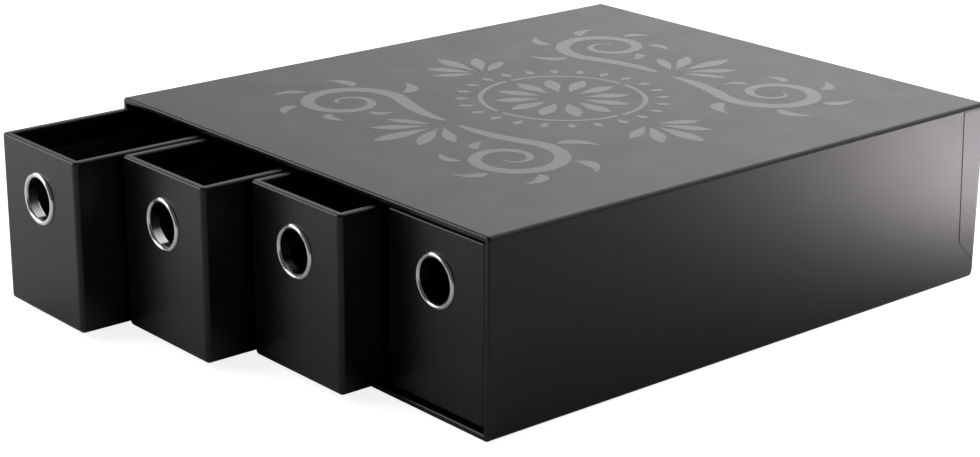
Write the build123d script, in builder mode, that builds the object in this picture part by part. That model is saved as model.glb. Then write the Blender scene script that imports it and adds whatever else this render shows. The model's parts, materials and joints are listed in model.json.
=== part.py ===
from build123d import *

import os

# Trading card drawer box: a black paper-covered board case, open at the front, with four board drawers
# side by side in it. Each drawer's front has a chrome eyelet to pull it by.
#
# Millimetres. +X runs along the front, -Y is the way the drawers pull out, +Z is up. The origin is the
# middle of the case's underside. The drawers stand in equal steps, the first one drawn out furthest.

# Board and paper
case_board_thickness = 3.0
drawer_board_thickness = 4.0
paper_thickness = 0.3
case_board_fold_radius = 2.0
drawer_board_fold_radius = 2.5
board_rim_radius = 0.9

# Room for the cards in each drawer
card_room_width = 68.6
card_room_length = 368.8
card_room_height = 94.2

# Drawers in the case
drawer_count = 4
gap_between_drawers = 2.7
gap_beside_drawers = 0.9
gap_under_drawers = 0.6
gap_over_drawers = 1.6
gap_behind_drawers = 0.5
front_recess = 2.2
pull_step = 28.3

# Folds and laps of the paper
case_turn_in = 18.0
case_under_turn = 15.0
drawer_turn_in = 14.0
back_paper_margin = 3.0
back_flap_top_width = 20.0
back_flap_low_width = 15.5
back_flap_mitre_height = 8.8

# Eyelets
eyelet_bore = 24.2
eyelet_flange_width = 3.0
eyelet_metal = 0.45
eyelet_curl_radius = 1.2
eyelet_below_rim = 29.6
eyelet_clearance = 0.1
washer_lip = 0.6
washer_thickness = 0.5

# Walls: board with paper on both faces
case_wall = case_board_thickness + 2 * paper_thickness
drawer_wall = drawer_board_thickness + 2 * paper_thickness
case_fold_radius = case_board_fold_radius + paper_thickness
drawer_fold_radius = drawer_board_fold_radius + paper_thickness
rim_radius = board_rim_radius + paper_thickness

# Drawer sizes, outside
drawer_width = card_room_width + 2 * drawer_wall
drawer_length = card_room_length + 2 * drawer_wall
drawer_height = card_room_height + drawer_wall
drawer_pitch = drawer_width + gap_between_drawers

# Case sizes, outside
bay_width = drawer_count * drawer_pitch - gap_between_drawers + 2 * gap_beside_drawers
bay_depth = front_recess + drawer_length + gap_behind_drawers
bay_height = gap_under_drawers + drawer_height + gap_over_drawers
case_width = bay_width + 2 * case_wall
case_depth = bay_depth + case_wall + paper_thickness
case_height = bay_height + 2 * case_wall

# Places that pieces share
side_x = case_width / 2
front_y = -case_depth / 2
back_y = case_depth / 2
cover_back_y = back_y - paper_thickness
drawer_floor_z = case_wall + gap_under_drawers
rim_z = drawer_floor_z + drawer_height
eyelet_z = rim_z - eyelet_below_rim

# Eyelet radii
bore_radius = eyelet_bore / 2
dome_radius = eyelet_flange_width / 2
barrel_radius = bore_radius + eyelet_metal
eyelet_hole_radius = barrel_radius + eyelet_clearance
curl_outer_radius = bore_radius + 2 * eyelet_curl_radius
washer_radius = curl_outer_radius + washer_lip


def inset(limits, amount):
    """The low and high limits of a box on each axis, drawn in by an amount on every side."""
    return [(low + amount, high - amount) for low, high in limits]


def block(x, y, z, mode=Mode.ADD):
    """A box between a low and a high limit on each axis."""
    with Locations(((x[0] + x[1]) / 2, (y[0] + y[1]) / 2, (z[0] + z[1]) / 2)):
        Box(x[1] - x[0], y[1] - y[0], z[1] - z[0], mode=mode)


def open_box(outside, inside, open_axis, fold_radius, mouth_radius):
    """A box with one side open. Its closed edges are rounded, and the edges of its mouth a little less."""
    with BuildPart() as form:
        block(*outside)
        open_side = form.faces().sort_by(open_axis)[0]
        fillet(form.edges() - open_side.edges(), fold_radius)
        block(*inside, mode=Mode.SUBTRACT)
        open_side = form.faces().sort_by(open_axis)[0]
        fillet(open_side.edges(), mouth_radius)
    return form.part


def save(piece, name):
    piece.part.label = name
    export_step(piece.part, f"parts/{name}.step")


# The case as nested boxes: the paper outside, the boards' outside, the boards' inside and the paper inside
case_outside = [(-side_x, side_x), (front_y, cover_back_y), (0, case_height)]
case_board_outside = inset(case_outside, paper_thickness)
case_board_inside = inset(case_board_outside, case_board_thickness)
case_paper_inside = inset(case_board_inside, paper_thickness)


def through_front(limits):
    """The case's inside limits, lengthened forwards so that they reach through the open front."""
    x, y, z = limits
    return [x, (front_y - case_wall, y[1]), z]


case_boards = open_box(
    case_board_outside, through_front(case_board_inside), Axis.Y, case_board_fold_radius, board_rim_radius
)
case_covered = open_box(
    case_outside, through_front(case_paper_inside), Axis.Y, case_fold_radius, rim_radius
)


def make_case_boards():
    """Top and bottom run the full width, the sides stand between them, and the back between the sides."""
    (x0, x1), (y0, y1), (z0, z1) = case_board_outside
    (in_x0, in_x1), (_, in_y1), (in_z0, in_z1) = case_board_inside
    places = {
        "top": [(x0, x1), (y0, y1), (in_z1, z1)],
        "bottom": [(x0, x1), (y0, y1), (z0, in_z0)],
        "left": [(x0, in_x0), (y0, y1), (in_z0, in_z1)],
        "right": [(in_x1, x1), (y0, y1), (in_z0, in_z1)],
        "back": [(in_x0, in_x1), (in_y1, y1), (in_z0, in_z1)],
    }
    for side, limits in places.items():
        with BuildPart() as board:
            block(*limits)
            add(case_boards, mode=Mode.INTERSECT)
        save(board, f"case_{side}_board")


def make_case_cover_paper():
    """Round the outside, over the front edges and into the mouth, and turned under round the underside."""
    board_x, board_y, board_z = case_board_inside
    lined_y = (front_y + case_turn_in, board_y[1])
    with BuildPart() as cover:
        add(case_covered)
        add(case_boards, mode=Mode.SUBTRACT)
        block(board_x, lined_y, board_z, mode=Mode.SUBTRACT)
        block(*base_paper_limits(), mode=Mode.SUBTRACT)
    save(cover, "case_cover_paper")


def base_paper_limits():
    """The underside between the cover paper's turned edges."""
    x, y, _ = inset(case_outside, case_under_turn)
    return [x, y, (0, paper_thickness)]


def make_case_base_paper():
    """The sheet on the underside, level with the cover paper round it."""
    with BuildPart() as base:
        block(*base_paper_limits())
    save(base, "case_base_paper")


def make_case_lining_paper():
    """The lining of the inside, from the cover paper's turned-in edge to the back."""
    board_x, board_y, board_z = case_board_inside
    room_x, room_y, room_z = case_paper_inside
    start_y = front_y + case_turn_in
    with BuildPart() as lining:
        block(board_x, (start_y, board_y[1]), board_z)
        block(room_x, (start_y, room_y[1]), room_z, mode=Mode.SUBTRACT)
    save(lining, "case_lining_paper")


def round_backed_block(x, y, z, radius):
    """A box whose two upright edges at the back are rounded."""
    with BuildPart() as form:
        block(x, y, z)
        fillet(form.edges().filter_by(Axis.Z).group_by(Axis.Y)[-1], radius)
    return form.part


def make_case_back_paper():
    """The sheet over the back. Its flaps on both sides narrow downwards and end in a mitre."""
    flap_x = side_x + paper_thickness
    flap_y = cover_back_y - back_flap_top_width
    flap_low_y = cover_back_y - back_flap_low_width
    sheet_z = (back_paper_margin, case_height - back_paper_margin)
    mitre_end_z = back_flap_mitre_height + back_y - flap_low_y
    sheet_fold_radius = case_fold_radius + paper_thickness
    with BuildPart() as sheet:
        add(round_backed_block((-flap_x, flap_x), (flap_y, back_y), sheet_z, sheet_fold_radius))
        add(
            round_backed_block((-side_x, side_x), (front_y, cover_back_y), sheet_z, case_fold_radius),
            mode=Mode.SUBTRACT,
        )
        for side in (-1, 1):
            with BuildSketch(Plane.YZ.offset(side * side_x)):
                with BuildLine():
                    Polyline(
                        (back_y, back_flap_mitre_height),
                        (flap_low_y, mitre_end_z),
                        (flap_y, sheet_z[1]),
                        (flap_y, 0),
                        (back_y, 0),
                        close=True,
                    )
                make_face()
            extrude(amount=side * paper_thickness, mode=Mode.SUBTRACT)
    save(sheet, "case_back_paper")


def drawer_limits(number):
    """Where a drawer's outside stands, each one a step further out than the next."""
    low_x = case_wall + gap_beside_drawers + (number - 1) * drawer_pitch - side_x
    low_y = front_y + front_recess - (drawer_count - number) * pull_step
    return [
        (low_x, low_x + drawer_width),
        (low_y, low_y + drawer_length),
        (drawer_floor_z, rim_z),
    ]


def through_rim(limits):
    """A drawer's inside limits, lengthened upwards so that they reach through the open top."""
    x, y, z = limits
    return [x, y, (z[0], rim_z + drawer_wall)]


def eyelet_plane(number):
    """The drawer's front face at its eyelet's centre, facing out."""
    x, y, _ = drawer_limits(number)
    return Plane(origin=((x[0] + x[1]) / 2, y[0], eyelet_z), x_dir=(1, 0, 0), z_dir=(0, -1, 0))


def cut_eyelet_hole(number):
    """Cuts the eyelet's hole through the front of the piece that is being made."""
    with Locations(eyelet_plane(number)):
        Hole(eyelet_hole_radius, depth=2 * drawer_wall)


def make_drawer_boards(number, boards):
    """Front and back run the full width, the sides stand between them, and the bottom inside all four."""
    outline = inset(drawer_limits(number), paper_thickness)
    (x0, x1), (y0, y1), (z0, z1) = outline
    (in_x0, in_x1), (in_y0, in_y1), (in_z0, _) = inset(outline, drawer_board_thickness)
    places = {
        "front": [(x0, x1), (y0, in_y0), (z0, z1)],
        "back": [(x0, x1), (in_y1, y1), (z0, z1)],
        "left": [(x0, in_x0), (in_y0, in_y1), (z0, z1)],
        "right": [(in_x1, x1), (in_y0, in_y1), (z0, z1)],
        "bottom": [(in_x0, in_x1), (in_y0, in_y1), (z0, in_z0)],
    }
    for side, limits in places.items():
        with BuildPart() as board:
            block(*limits)
            add(boards, mode=Mode.INTERSECT)
            if side == "front":
                cut_eyelet_hole(number)
        save(board, f"drawer_{number}_{side}_board")


def make_drawer_papers(number, boards):
    """The cover goes round the outside, over the rim and a little way in. The lining covers the rest."""
    outside = drawer_limits(number)
    room = inset(outside, drawer_wall)
    covered = open_box(outside, through_rim(room), -Axis.Z, drawer_fold_radius, rim_radius)
    board_x, board_y, board_z = inset(room, -paper_thickness)
    room_x, room_y, room_z = room
    lining_top = rim_z - drawer_turn_in
    with BuildPart() as cover:
        add(covered)
        add(boards, mode=Mode.SUBTRACT)
        block(board_x, board_y, (board_z[0], lining_top), mode=Mode.SUBTRACT)
        cut_eyelet_hole(number)
    save(cover, f"drawer_{number}_cover_paper")

    with BuildPart() as lining:
        block(board_x, board_y, (board_z[0], lining_top))
        block(room_x, room_y, (room_z[0], lining_top), mode=Mode.SUBTRACT)
        cut_eyelet_hole(number)
    save(lining, f"drawer_{number}_lining_paper")


def make_eyelet(number):
    """A domed flange on the front face, a barrel through the wall and a curl that grips the washer."""
    centre = eyelet_plane(number).origin
    inner_end = drawer_wall + washer_thickness
    dome_outer = bore_radius + 2 * dome_radius
    dome_middle = bore_radius + dome_radius
    curl_middle = bore_radius + eyelet_curl_radius
    curl_depth = inner_end + eyelet_curl_radius
    # Across the page is the radius, and up the page is the depth into the drawer.
    page = Plane(origin=centre, x_dir=(1, 0, 0), z_dir=(0, 0, 1))
    with BuildPart() as eyelet:
        with BuildSketch(page):
            with BuildLine():
                Line((bore_radius, 0), (bore_radius, inner_end))
                ThreePointArc(
                    (bore_radius, inner_end),
                    (curl_middle, curl_depth),
                    (curl_outer_radius, inner_end),
                )
                Line((curl_outer_radius, inner_end), (curl_outer_radius - eyelet_metal, inner_end))
                ThreePointArc(
                    (curl_outer_radius - eyelet_metal, inner_end),
                    (curl_middle, curl_depth - eyelet_metal),
                    (barrel_radius, inner_end),
                )
                Line((barrel_radius, inner_end), (barrel_radius, 0))
                ThreePointArc(
                    (barrel_radius, 0),
                    (dome_middle, eyelet_metal - dome_radius),
                    (dome_outer - eyelet_metal, 0),
                )
                Line((dome_outer - eyelet_metal, 0), (dome_outer, 0))
                ThreePointArc((dome_outer, 0), (dome_middle, -dome_radius), (bore_radius, 0))
            make_face()
        revolve(axis=Axis(centre, (0, 1, 0)))
    save(eyelet, f"drawer_{number}_eyelet")


def make_eyelet_washer(number):
    """The flat ring inside the drawer's front that the eyelet is closed over."""
    with BuildPart() as washer:
        with BuildSketch(eyelet_plane(number).offset(-drawer_wall)):
            Circle(washer_radius)
            Circle(eyelet_hole_radius, mode=Mode.SUBTRACT)
        extrude(amount=-washer_thickness)
    save(washer, f"drawer_{number}_eyelet_washer")


def make_drawer(number):
    outline = inset(drawer_limits(number), paper_thickness)
    hollow = through_rim(inset(outline, drawer_board_thickness))
    boards = open_box(outline, hollow, -Axis.Z, drawer_board_fold_radius, board_rim_radius)
    make_drawer_boards(number, boards)
    make_drawer_papers(number, boards)
    make_eyelet(number)
    make_eyelet_washer(number)


os.makedirs("parts", exist_ok=True)
make_case_boards()
make_case_cover_paper()
make_case_base_paper()
make_case_lining_paper()
make_case_back_paper()
for drawer_number in range(1, drawer_count + 1):
    make_drawer(drawer_number)
print(f"case {case_width:.1f} x {case_depth:.1f} x {case_height:.1f} mm, drawer {drawer_width:.1f} x "
      f"{drawer_length:.1f} x {drawer_height:.1f} mm")
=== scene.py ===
import bpy
import bmesh
import json
import math
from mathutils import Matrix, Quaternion, Vector


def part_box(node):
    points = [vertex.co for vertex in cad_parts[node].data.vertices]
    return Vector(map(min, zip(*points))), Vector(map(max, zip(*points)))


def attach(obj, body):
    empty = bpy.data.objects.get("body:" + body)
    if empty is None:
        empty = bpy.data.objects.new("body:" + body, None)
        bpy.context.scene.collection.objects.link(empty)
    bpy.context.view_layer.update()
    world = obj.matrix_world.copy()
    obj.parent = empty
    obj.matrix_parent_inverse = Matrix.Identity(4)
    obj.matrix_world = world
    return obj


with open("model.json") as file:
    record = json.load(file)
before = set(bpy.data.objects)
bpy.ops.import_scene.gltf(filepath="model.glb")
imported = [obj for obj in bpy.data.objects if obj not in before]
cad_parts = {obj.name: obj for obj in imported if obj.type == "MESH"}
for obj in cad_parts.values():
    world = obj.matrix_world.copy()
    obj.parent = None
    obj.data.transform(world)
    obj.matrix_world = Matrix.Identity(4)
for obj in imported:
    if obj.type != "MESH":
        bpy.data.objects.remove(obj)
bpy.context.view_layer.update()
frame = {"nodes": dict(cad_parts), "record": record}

# Camera, at the photograph's viewing angle, in metres, degrees and millimetres of lens
camera_place = (0.9515, -0.8730, 0.4661)
camera_azimuth = 49.132
camera_elevation = 18.741
camera_roll = 0.461
camera_lens = 83.92
camera_sensor = 36.0

# The varnish ornament on the lid, in metres and degrees. Its layer is sunk into the paper by varnish_seat.
lid_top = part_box("case_cover_paper")[1].z
varnish_height = 0.00004
varnish_seat = 0.00005
ornament_centre = Vector((0.0, 0.006, 0.0))
narrowest_tip = 0.00008

# Rosette: petals, a ring in four arcs, and drops outside it
petal_count = 12
petal_start = 0.012
petal_end = 0.041
petal_width = 0.0094
ring_arcs = 4
ring_radius = 0.0485
ring_width = 0.0030
ring_gap = 5.0
ring_steps = 40
drop_count = 24
drop_start = 0.0535
drop_end = 0.064
drop_width = 0.0052
drop_turn = 0.5
radial_leaf_steps = 20
radial_leaf_fullest = 0.6

# Scrolls: a stem from near the axis that winds into a coil
coil_centre = Vector((0.072, 0.104, 0.0))
coil_radius = 0.032
coil_turns = 1.55
coil_start = 248.0
coil_closing = 0.86
coil_closing_power = 0.9
stem_root = Vector((0.006, 0.084, 0.0))
stem_ease = 0.034
stem_width = 0.0092
stem_thinnest = 0.12
stem_width_power = 0.6
stem_share = 0.30
stem_steps = 110

# Curved leaves that stand off the coil
scroll_leaves = 6
leaf_steps = 24
leaf_first = 0.02
leaf_reach = 0.34
leaf_length = 0.027
leaf_shortening = 0.07
leaf_width = 0.0080
leaf_narrowing = 0.05
leaf_fullest = 0.4
leaf_stand_off = 0.0072
leaf_droop = 0.35
leaf_sweep = 0.75
tangent_step = 0.01

# Palmettes on the ornament's four sides
fan_leaves = 5
fan_spread = 112.0
fan_width = 0.0100
fan_root_gap = 0.16
fan_bend = 0.16
fan_shortening = 0.38
fan_narrowing = 0.25
fan_fullest = 0.62
end_fan_root = 0.091
end_fan_length = 0.050
side_fan_root = 0.070
side_fan_length = 0.046

# Noise scales, per metre, and the bands of noise that colour and gloss follow
paper_cloud_scale = 35.0
rub_scale = 260.0
fibre_scale = 900.0
fleck_scale = 700.0
metal_cloud_scale = 160.0
polish_scale = 1500.0
varnish_cloud_scale = 55.0
varnish_ripple_scale = 420.0
fibre_stretch = (1.0, 0.45, 1.0)
fleck_stretch = (1.0, 1.0, 0.4)
colour_band = (0.35, 0.65)
gloss_band = (0.3, 0.7)
rub_band = (0.45, 0.7)
bent_edge_band = (0.99, 0.85)
bent_edge_radius = 0.0006
fibre_detail = 5.0
fleck_detail = 6.0
polish_detail = 4.0

# Surface relief: depths in metres, and how strongly it shows
fibre_depth = 0.00006
fleck_depth = 0.0002
fleck_strength = 0.3
polish_depth = 0.00002
varnish_ripple_depth = 0.00005
varnish_ripple_strength = 0.05

# Other values of the materials
paper_ior = 1.5
varnish_ior = 1.6
# The varnish colours are painted sheen: a grey lighter than the black paper, standing in for the varnish's
# gloss
varnish_painted_sheen_dark = (0.105, 0.100, 0.115)
varnish_painted_sheen_light = (0.150, 0.145, 0.162)
varnish_roughness = (0.16, 0.24)
board_dark = (0.20, 0.185, 0.165)
board_light = (0.33, 0.31, 0.28)
board_roughness = 0.9
chrome_colour = (0.78, 0.78, 0.79)
steel_colour = (0.56, 0.56, 0.57)
metal_dullest = 0.94

# Floor, a little under the box so that the two faces don't meet
floor_half = 6.0
floor_drop = 0.0003
floor_colour = 0.90
floor_roughness = 0.85
floor_glow_to_camera = 0.85

# World: brightest towards the backdrop, over this band of the cosine of the angle to it
backdrop_azimuth = math.radians(100.0)
backdrop_elevation = math.radians(12.0)
backdrop_band = (0.47, 0.93)
world_low = 0.08
world_high = 1.58
world_to_camera = 1.0

# Softboxes: one from the front-left for the fronts, one low strip behind on the right for the right side
key_place = (-0.72, -0.80, 0.46)
key_aim = (-0.25, -0.38, 0.0)
key_width = 0.9
key_height = 0.8
key_power = 6.3
strip_place = (0.374, 0.502, 0.105)
strip_aim = (0.374, 0.502, 0.0)
strip_length = 0.50
strip_width = 0.08
strip_power = 3.5
strip_turn = 57.0
strip_tint = (1.0, 0.93, 0.975)


def grey(level):
    return (level, level, level)


def new_material(name):
    material = bpy.data.materials.new(name)
    material.use_nodes = True
    tree = material.node_tree
    tree.nodes.clear()
    output = tree.nodes.new("ShaderNodeOutputMaterial")
    shader = tree.nodes.new("ShaderNodeBsdfPrincipled")
    tree.links.new(shader.outputs["BSDF"], output.inputs["Surface"])
    return material, tree, shader


def noise(tree, scale, detail=3.0, stretch=(1.0, 1.0, 1.0)):
    """Noise in the object's own metres, so a scale of 1000 is about a millimetre."""
    place = tree.nodes.new("ShaderNodeTexCoord")
    mapping = tree.nodes.new("ShaderNodeMapping")
    mapping.inputs["Scale"].default_value = stretch
    texture = tree.nodes.new("ShaderNodeTexNoise")
    texture.inputs["Scale"].default_value = scale
    texture.inputs["Detail"].default_value = detail
    tree.links.new(place.outputs["Object"], mapping.inputs["Vector"])
    tree.links.new(mapping.outputs["Vector"], texture.inputs["Vector"])
    return texture.outputs["Fac"]


def remap(tree, value, band, target=(0.0, 1.0)):
    """Takes a value from one band to another and holds it at the ends."""
    node = tree.nodes.new("ShaderNodeMapRange")
    node.inputs["From Min"].default_value = band[0]
    node.inputs["From Max"].default_value = band[1]
    node.inputs["To Min"].default_value = target[0]
    node.inputs["To Max"].default_value = target[1]
    tree.links.new(value, node.inputs["Value"])
    return node.outputs["Result"]


def mix_colours(tree, factor, first, second):
    """Mixes two colours, each given as three numbers or as another node's output."""
    node = tree.nodes.new("ShaderNodeMix")
    node.data_type = "RGBA"
    colour_in = [s for s in node.inputs if s.type == "RGBA"]
    tree.links.new(factor, node.inputs[0])
    for socket, colour in zip(colour_in, (first, second)):
        if isinstance(colour, tuple):
            socket.default_value = (*colour, 1.0)
        else:
            tree.links.new(colour, socket)
    return [s for s in node.outputs if s.type == "RGBA"][0]


def edge_mask(tree):
    """One along the edges of the mesh, where the paper is bent and rubbed, and nought on its flats."""
    bevel = tree.nodes.new("ShaderNodeBevel")
    bevel.inputs["Radius"].default_value = bent_edge_radius
    geometry = tree.nodes.new("ShaderNodeNewGeometry")
    dot = tree.nodes.new("ShaderNodeVectorMath")
    dot.operation = "DOT_PRODUCT"
    tree.links.new(bevel.outputs["Normal"], dot.inputs[0])
    tree.links.new(geometry.outputs["Normal"], dot.inputs[1])
    return remap(tree, dot.outputs["Value"], bent_edge_band)


def bump(tree, shader, height, strength, distance):
    node = tree.nodes.new("ShaderNodeBump")
    node.inputs["Strength"].default_value = strength
    node.inputs["Distance"].default_value = distance
    tree.links.new(height, node.inputs["Height"])
    tree.links.new(node.outputs["Normal"], shader.inputs["Normal"])


def paper(name, dark, light, worn, roughness, specular, fibre_strength):
    """Dyed paper: fine fibres, faint clouds in colour and gloss, and edges rubbed a little lighter."""
    material, tree, shader = new_material(name)
    clouds = noise(tree, paper_cloud_scale)
    body = mix_colours(tree, remap(tree, clouds, colour_band), grey(dark), grey(light))
    rubbed = tree.nodes.new("ShaderNodeMath")
    rubbed.operation = "MULTIPLY"
    tree.links.new(edge_mask(tree), rubbed.inputs[0])
    tree.links.new(remap(tree, noise(tree, rub_scale), rub_band), rubbed.inputs[1])
    colour = mix_colours(tree, rubbed.outputs["Value"], body, grey(worn))
    tree.links.new(colour, shader.inputs["Base Color"])
    tree.links.new(remap(tree, clouds, gloss_band, roughness), shader.inputs["Roughness"])
    shader.inputs["IOR"].default_value = paper_ior
    shader.inputs["Specular IOR Level"].default_value = specular
    fibres = noise(tree, fibre_scale, fibre_detail, fibre_stretch)
    bump(tree, shader, fibres, fibre_strength, fibre_depth)
    return material


def greyboard(name):
    """Raw grey board with flecks."""
    material, tree, shader = new_material(name)
    flecks = noise(tree, fleck_scale, fleck_detail, fleck_stretch)
    colour = mix_colours(tree, remap(tree, flecks, colour_band), board_dark, board_light)
    tree.links.new(colour, shader.inputs["Base Color"])
    shader.inputs["Roughness"].default_value = board_roughness
    bump(tree, shader, flecks, fleck_strength, fleck_depth)
    return material


def metal(name, colour, roughness, polish_strength):
    """Plated metal with faint polishing marks and slightly uneven gloss."""
    material, tree, shader = new_material(name)
    cloud = noise(tree, metal_cloud_scale)
    tint = mix_colours(tree, cloud, tuple(metal_dullest * c for c in colour), colour)
    tree.links.new(tint, shader.inputs["Base Color"])
    shader.inputs["Metallic"].default_value = 1.0
    tree.links.new(remap(tree, cloud, gloss_band, roughness), shader.inputs["Roughness"])
    bump(tree, shader, noise(tree, polish_scale, polish_detail), polish_strength, polish_depth)
    return material


def varnish(name):
    """Spot varnish, smoother than the paper under it. Its colour is painted sheen: a grey lighter than the
    paper, in random clouds.
    """
    material, tree, shader = new_material(name)
    cloud = noise(tree, varnish_cloud_scale)
    # Painted sheen: the varnish is coloured a grey lighter than the paper under it
    colour = mix_colours(tree, remap(tree, cloud, gloss_band), varnish_painted_sheen_dark, varnish_painted_sheen_light)
    tree.links.new(colour, shader.inputs["Base Color"])
    tree.links.new(remap(tree, cloud, gloss_band, varnish_roughness), shader.inputs["Roughness"])
    shader.inputs["IOR"].default_value = varnish_ior
    bump(tree, shader, noise(tree, varnish_ripple_scale), varnish_ripple_strength, varnish_ripple_depth)
    return material


def give_materials():
    by_slot = {
        "board": greyboard("greyboard"),
        "cover_paper": paper(
            "cover_paper", dark=0.0003, light=0.0006, worn=0.004,
            roughness=(0.30, 0.335), specular=0.5, fibre_strength=0.07,
        ),
        "lining_paper": paper(
            "lining_paper", dark=0.016, light=0.022, worn=0.030,
            roughness=(0.50, 0.60), specular=0.3, fibre_strength=0.16,
        ),
        "eyelet": metal("chrome", chrome_colour, roughness=(0.16, 0.22), polish_strength=0.03),
        "washer": metal("plain_steel", steel_colour, roughness=(0.28, 0.40), polish_strength=0.10),
    }
    for row in frame["record"]["subparts"]:
        node = frame["nodes"][row["node"]]
        node.data.materials.clear()
        node.data.materials.append(by_slot[row["material_slot"]])


def direction(angle):
    """The level direction at an angle from +X, in radians."""
    return Vector((math.cos(angle), math.sin(angle), 0.0))


def slab(shape, centre_line, widths):
    """A thin raised stroke of varnish along a line, as wide at each of its points as widths says."""
    bottoms = []
    tops = []
    last = len(centre_line) - 1
    for i, point in enumerate(centre_line):
        along = (centre_line[min(i + 1, last)] - centre_line[max(i - 1, 0)]).normalized()
        across = Vector((-along.y, along.x, 0.0)) * widths[i] / 2
        for z, rows in ((lid_top - varnish_seat, bottoms), (lid_top + varnish_height, tops)):
            left = shape.verts.new((point.x - across.x, point.y - across.y, z))
            right = shape.verts.new((point.x + across.x, point.y + across.y, z))
            rows.append((left, right))
    for i in range(last):
        (a, b), (c, d) = tops[i], tops[i + 1]
        (e, f), (g, h) = bottoms[i], bottoms[i + 1]
        shape.faces.new((a, b, d, c))
        shape.faces.new((e, g, h, f))
        shape.faces.new((a, c, g, e))
        shape.faces.new((b, f, h, d))
    for (left, right), (low_left, low_right) in ((tops[0], bottoms[0]), (tops[-1], bottoms[-1])):
        shape.faces.new((left, low_left, low_right, right))


def leaf_widths(steps, width, fullest):
    """A leaf's width along its length: pointed at both ends and fullest part of the way along."""
    power = math.log(0.5) / math.log(fullest)
    return [max(narrowest_tip, width * math.sin(math.pi * (i / steps) ** power)) for i in range(steps + 1)]


def add_radial_leaves(shape, count, start, end, width, turn=0.0):
    steps = radial_leaf_steps
    for number in range(count):
        way = direction(2 * math.pi * (number + turn) / count)
        line = [ornament_centre + way * (start + (end - start) * i / steps) for i in range(steps + 1)]
        slab(shape, line, leaf_widths(steps, width, radial_leaf_fullest))


def add_ring(shape):
    """A thin ring in arcs, with a small break between each and the next."""
    gap = math.radians(ring_gap)
    arc = 2 * math.pi / ring_arcs
    for number in range(ring_arcs):
        begin = number * arc + gap / 2
        line = []
        for i in range(ring_steps + 1):
            angle = begin + (arc - gap) * i / ring_steps
            line.append(ornament_centre + direction(angle) * ring_radius)
        slab(shape, line, [ring_width] * (ring_steps + 1))


def scroll_point(t):
    """A stem that leaves the axis and winds into a coil. t runs from 0 at the root to 1 in the coil."""
    angle = math.radians(coil_start)
    coil_entry = coil_centre + direction(angle) * coil_radius
    if t < stem_share:
        u = t / stem_share
        heading = Vector((-math.sin(angle), math.cos(angle), 0.0))
        bend = coil_entry - heading * stem_ease
        return stem_root * (1 - u) ** 2 + bend * 2 * u * (1 - u) + coil_entry * u * u
    u = (t - stem_share) / (1 - stem_share)
    turn = angle + coil_turns * 2 * math.pi * u
    radius = coil_radius * (1 - coil_closing * u ** coil_closing_power)
    return coil_centre + direction(turn) * radius


def mirrored(line, mirror_x, mirror_y):
    """A line of the first quarter of the ornament, taken to one of the four and set in its place."""
    return [ornament_centre + Vector((p.x * mirror_x, p.y * mirror_y, 0.0)) for p in line]


def scroll_leaf_line(number):
    """A curved leaf that stands off the outside of a scroll's coil."""
    t = stem_share + leaf_first + leaf_reach * number / (scroll_leaves - 1)
    root = scroll_point(t)
    along = (scroll_point(t + tangent_step) - root).normalized()
    out = (root - coil_centre).normalized()
    size = leaf_length * (1 - leaf_shortening * number)
    line = []
    for i in range(leaf_steps + 1):
        u = i / leaf_steps
        outward = leaf_stand_off + size * u * (1 - leaf_droop * u)
        line.append(root + out * outward + along * size * leaf_sweep * u * u)
    return line


def add_scrolls(shape):
    """Four mirrored scrolls, each a stem with its leaves."""
    stem = [scroll_point(i / stem_steps) for i in range(stem_steps + 1)]
    stem_widths = []
    for i in range(stem_steps + 1):
        swell = math.sin(math.pi * (i / stem_steps) ** stem_width_power)
        stem_widths.append(stem_width * (stem_thinnest + (1 - stem_thinnest) * swell))
    for mirror_x in (-1, 1):
        for mirror_y in (-1, 1):
            slab(shape, mirrored(stem, mirror_x, mirror_y), stem_widths)
            for number in range(scroll_leaves):
                widths = leaf_widths(leaf_steps, leaf_width * (1 - leaf_narrowing * number), leaf_fullest)
                slab(shape, mirrored(scroll_leaf_line(number), mirror_x, mirror_y), widths)


def add_fan(shape, heading, root_distance, length):
    """A palmette: leaves that spread from a root on one of the ornament's axes, the middle one longest."""
    middle = (fan_leaves - 1) / 2
    root = ornament_centre + direction(heading) * root_distance
    across = Vector((-math.sin(heading), math.cos(heading), 0.0))
    for number in range(fan_leaves):
        side = (number - middle) / middle
        way = direction(heading + math.radians(fan_spread) / 2 * side)
        size = length * (1 - fan_shortening * abs(side))
        line = []
        for i in range(leaf_steps + 1):
            u = i / leaf_steps
            reach = fan_root_gap + (1 - fan_root_gap) * u
            line.append(root + way * size * reach + across * side * size * fan_bend * u * u)
        slab(shape, line, leaf_widths(leaf_steps, fan_width * (1 - fan_narrowing * abs(side)), fan_fullest))


def make_lid_ornament():
    """A symmetric rosette with four scrolls and four palmettes in spot varnish, laid on the lid."""
    shape = bmesh.new()
    add_radial_leaves(shape, petal_count, petal_start, petal_end, petal_width)
    add_ring(shape)
    add_radial_leaves(shape, drop_count, drop_start, drop_end, drop_width, drop_turn)
    add_scrolls(shape)
    add_fan(shape, math.pi / 2, end_fan_root, end_fan_length)
    add_fan(shape, -math.pi / 2, end_fan_root, end_fan_length)
    add_fan(shape, 0.0, side_fan_root, side_fan_length)
    add_fan(shape, math.pi, side_fan_root, side_fan_length)
    bmesh.ops.recalc_face_normals(shape, faces=shape.faces)
    mesh = bpy.data.meshes.new("lid_ornament")
    shape.to_mesh(mesh)
    shape.free()
    piece = bpy.data.objects.new("lid_ornament", mesh)
    bpy.context.scene.collection.objects.link(piece)
    piece.data.materials.append(varnish("spot_varnish"))
    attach(piece, "case")


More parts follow.
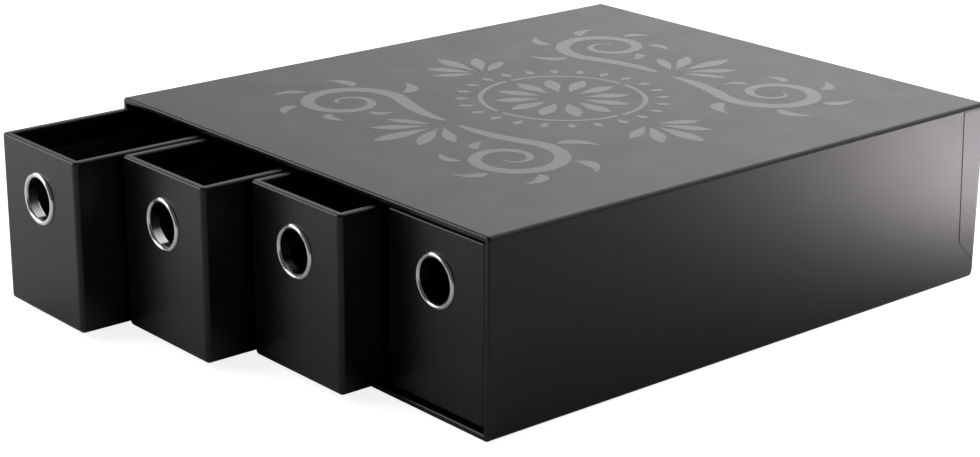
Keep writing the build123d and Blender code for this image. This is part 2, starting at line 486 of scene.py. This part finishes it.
def make_floor():
    """A pale floor that the camera sees as near white. Its glow lights nothing else."""
    mesh = bpy.data.meshes.new("floor")
    corners = []
    for x, y in ((-1, -1), (1, -1), (1, 1), (-1, 1)):
        corners.append((x * floor_half, y * floor_half, -floor_drop))
    mesh.from_pydata(corners, [], [(0, 1, 2, 3)])
    floor = bpy.data.objects.new("floor", mesh)
    bpy.context.scene.collection.objects.link(floor)
    material, tree, shader = new_material("pale_floor")
    shader.inputs["Base Color"].default_value = (*grey(floor_colour), 1.0)
    shader.inputs["Roughness"].default_value = floor_roughness
    shader.inputs["Emission Color"].default_value = (1.0, 1.0, 1.0, 1.0)
    path = tree.nodes.new("ShaderNodeLightPath")
    glow = remap(tree, path.outputs["Is Camera Ray"], (0.0, 1.0), (0.0, floor_glow_to_camera))
    tree.links.new(glow, shader.inputs["Emission Strength"])
    mesh.materials.append(material)


def make_world():
    """A plain studio with a bright low backdrop behind and a little to the left. The camera sees white."""
    world = bpy.data.worlds.new("studio")
    bpy.context.scene.world = world
    world.use_nodes = True
    tree = world.node_tree
    tree.nodes.clear()
    output = tree.nodes.new("ShaderNodeOutputWorld")
    background = tree.nodes.new("ShaderNodeBackground")
    background.inputs["Color"].default_value = (1.0, 1.0, 1.0, 1.0)
    place = tree.nodes.new("ShaderNodeTexCoord")
    towards = tree.nodes.new("ShaderNodeVectorMath")
    towards.operation = "DOT_PRODUCT"
    level = direction(backdrop_azimuth) * math.cos(backdrop_elevation)
    towards.inputs[1].default_value = (level.x, level.y, math.sin(backdrop_elevation))
    tree.links.new(place.outputs["Generated"], towards.inputs[0])
    light = remap(tree, towards.outputs["Value"], backdrop_band, (world_low, world_high))
    path = tree.nodes.new("ShaderNodeLightPath")
    strength = tree.nodes.new("ShaderNodeMix")
    tree.links.new(path.outputs["Is Camera Ray"], strength.inputs[0])
    tree.links.new(light, strength.inputs[2])
    strength.inputs[3].default_value = world_to_camera
    tree.links.new(strength.outputs[0], background.inputs["Strength"])
    tree.links.new(background.outputs["Background"], output.inputs["Surface"])


def make_softbox(name, place, aim, width, height, power, turn=0.0, tint=(1.0, 1.0, 1.0)):
    """A flat lamp at a place, facing its aim and turned about that line by some degrees."""
    light = bpy.data.lights.new(name, "AREA")
    light.color = tint
    light.shape = "RECTANGLE"
    light.size = width
    light.size_y = height
    light.energy = power
    lamp = bpy.data.objects.new(name, light)
    bpy.context.scene.collection.objects.link(lamp)
    lamp.location = place
    lamp.visible_camera = False
    lamp.rotation_mode = "QUATERNION"
    facing = (Vector(aim) - Vector(place)).to_track_quat("-Z", "Y")
    lamp.rotation_quaternion = facing @ Quaternion((0.0, 0.0, 1.0), math.radians(turn))


def make_camera():
    data = bpy.data.cameras.new("camera")
    data.lens = camera_lens
    data.sensor_width = camera_sensor
    camera = bpy.data.objects.new("camera", data)
    bpy.context.scene.collection.objects.link(camera)
    azimuth = math.radians(camera_azimuth)
    elevation = math.radians(camera_elevation)
    forward = Vector(
        (
            -math.sin(azimuth) * math.cos(elevation),
            math.cos(azimuth) * math.cos(elevation),
            -math.sin(elevation),
        )
    )
    level = forward.to_track_quat("-Z", "Y")
    camera.location = camera_place
    camera.rotation_mode = "QUATERNION"
    camera.rotation_quaternion = level @ Quaternion((0.0, 0.0, 1.0), math.radians(camera_roll))
    bpy.context.scene.camera = camera


bpy.context.scene.view_settings.view_transform = "Standard"
give_materials()
make_lid_ornament()
make_floor()
make_world()
make_softbox("key", key_place, key_aim, key_width, key_height, key_power)
make_softbox("side", strip_place, strip_aim, strip_length, strip_width, strip_power, strip_turn, strip_tint)
make_camera()
